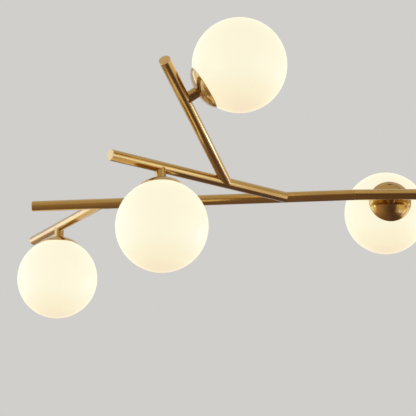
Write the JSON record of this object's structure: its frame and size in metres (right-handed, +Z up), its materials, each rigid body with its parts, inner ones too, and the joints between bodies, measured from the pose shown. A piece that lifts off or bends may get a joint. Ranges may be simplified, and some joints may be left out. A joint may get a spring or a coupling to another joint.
{
  "type": "branch chandelier",
  "caption": "Ceiling chandelier of straight branching brass tubes with opal glass globes in shallow brass caps, on a jointed swivel, rods and a round canopy.",
  "frame": {"origin": "centre of the ceiling face, on the axis of the hanging rods", "axes": "+Z up into the ceiling, +X along the centre tube, +Y away from the viewer"},
  "size_m": [1.5448, 0.6994, 0.8174],
  "materials": {
    "tube_brass": "brushed along its length, lightly aged",
    "cap_brass": "brushed round its axis, lightly aged",
    "canopy_brass": "brushed, lightly aged",
    "fitting_brass": "turned and brushed, lightly aged",
    "plug_brass": "faced and brushed",
    "raw_brass": "raw",
    "opal_glass": "glossy opal, lit from within",
    "zinc_plate": "zinc plated",
    "bare_steel": "ground",
    "ceramic": "glazed white ceramic",
    "bulb_glass": "frosted",
    "silicone": "matte",
    "earth_green": "satin",
    "connector_orange": "matte",
    "insulation": "satin"
  },
  "bodies": {
    "ceiling_gear": {"mounting_bracket": "zinc_plate", "canopy": "canopy_brass", "canopy_pipe": "zinc_plate", "canopy_nuts": "zinc_plate", "earth_screw": "earth_green", "wire_connectors": "connector_orange", "swivel_cover": "fitting_brass", "swivel_body": "fitting_brass"},
    "fork": {"swivel_fork": "fitting_brass", "swivel_pin": "bare_steel"},
    "hanger": {"swivel_knuckle": "fitting_brass", "rod_upper": "tube_brass", "rod_coupling": "fitting_brass", "rod_lower": "tube_brass", "rod_pipes": "zinc_plate", "rod_socket": "fitting_brass", "centre_tube": "tube_brass", "main_tube_left": "tube_brass", "main_tube_right": "tube_brass", "near_branch_left": "tube_brass", "near_branch_right": "tube_brass", "rising_branch_left": "tube_brass", "rising_branch_right": "tube_brass", "far_branch_left": "tube_brass", "far_branch_right": "tube_brass", "mitre_sleeves": "raw_brass", "end_plugs": "plug_brass", "stem_far_left": "tube_brass", "stem_near_left": "tube_brass", "stem_high_left": "tube_brass", "stem_centre_left": "tube_brass", "stem_far_right": "tube_brass", "stem_near_right": "tube_brass", "stem_high_right": "tube_brass", "stem_centre_right": "tube_brass", "cap_far_left": "cap_brass", "cap_near_left": "cap_brass", "cap_high_left": "cap_brass", "cap_centre_left": "cap_brass", "cap_far_right": "cap_brass", "cap_near_right": "cap_brass", "cap_high_right": "cap_brass", "cap_centre_right": "cap_brass", "lamp_pipes": "zinc_plate", "lamp_nuts": "zinc_plate", "glass_rings": "zinc_plate", "neck_seals": "silicone", "lampholders": "ceramic", "bulbs": "bulb_glass", "wiring": "insulation"},
    "globe_far_left": {"globe_far_left": "opal_glass"},
    "globe_near_left": {"globe_near_left": "opal_glass"},
    "globe_high_left": {"globe_high_left": "opal_glass"},
    "globe_centre_left": {"globe_centre_left": "opal_glass"},
    "globe_far_right": {"globe_far_right": "opal_glass"},
    "globe_near_right": {"globe_near_right": "opal_glass"},
    "globe_high_right": {"globe_high_right": "opal_glass"},
    "globe_centre_right": {"globe_centre_right": "opal_glass"}
  },
  "joints": [
    {"name": "swivel_turn", "type": "hinge", "parent": "ceiling_gear", "child": "fork", "pos_m": [0, 0, -0.045], "axis": [0, 0, 1], "range_deg": [-155, 155]},
    {"name": "swivel_tilt", "type": "hinge", "parent": "fork", "child": "hanger", "pos_m": [0, 0, -0.0688], "axis": [1, 0, 0], "range_deg": [-45, 45]},
    {"name": "globe_far_left_turn", "type": "hinge", "parent": "hanger", "child": "globe_far_left", "pos_m": [-0.69739, 0.18778, -0.74238], "axis": [0, 0, -1], "range_deg": [0, 450]},
    {"name": "globe_far_right_turn", "type": "hinge", "parent": "hanger", "child": "globe_far_right", "pos_m": [0.69739, -0.18778, -0.74238], "axis": [0, 0, -1], "range_deg": [0, 450]},
    {"name": "globe_near_left_turn", "type": "hinge", "parent": "hanger", "child": "globe_near_left", "pos_m": [-0.47864, -0.162, -0.74219], "axis": [0.038, -0.0478, -0.9981], "range_deg": [0, 450]},
    {"name": "globe_near_right_turn", "type": "hinge", "parent": "hanger", "child": "globe_near_right", "pos_m": [0.47864, 0.162, -0.74219], "axis": [-0.038, 0.0478, -0.9981], "range_deg": [0, 450]},
    {"name": "globe_high_left_turn", "type": "hinge", "parent": "hanger", "child": "globe_high_left", "pos_m": [-0.35263, -0.27165, -0.51163], "axis": [0.843, -0.0778, 0.5322], "range_deg": [0, 450]},
    {"name": "globe_high_right_turn", "type": "hinge", "parent": "hanger", "child": "globe_high_right", "pos_m": [0.35263, 0.27165, -0.51163], "axis": [-0.843, 0.0778, 0.5322], "range_deg": [0, 450]},
    {"name": "globe_centre_left_turn", "type": "hinge", "parent": "hanger", "child": "globe_centre_left", "pos_m": [-0.084, 0.10232, -0.64357], "axis": [0, 0.9994, -0.0349], "range_deg": [0, 450]},
    {"name": "globe_centre_right_turn", "type": "hinge", "parent": "hanger", "child": "globe_centre_right", "pos_m": [0.084, -0.10232, -0.64357], "axis": [0, -0.9994, -0.0349], "range_deg": [0, 450]}
  ]
}
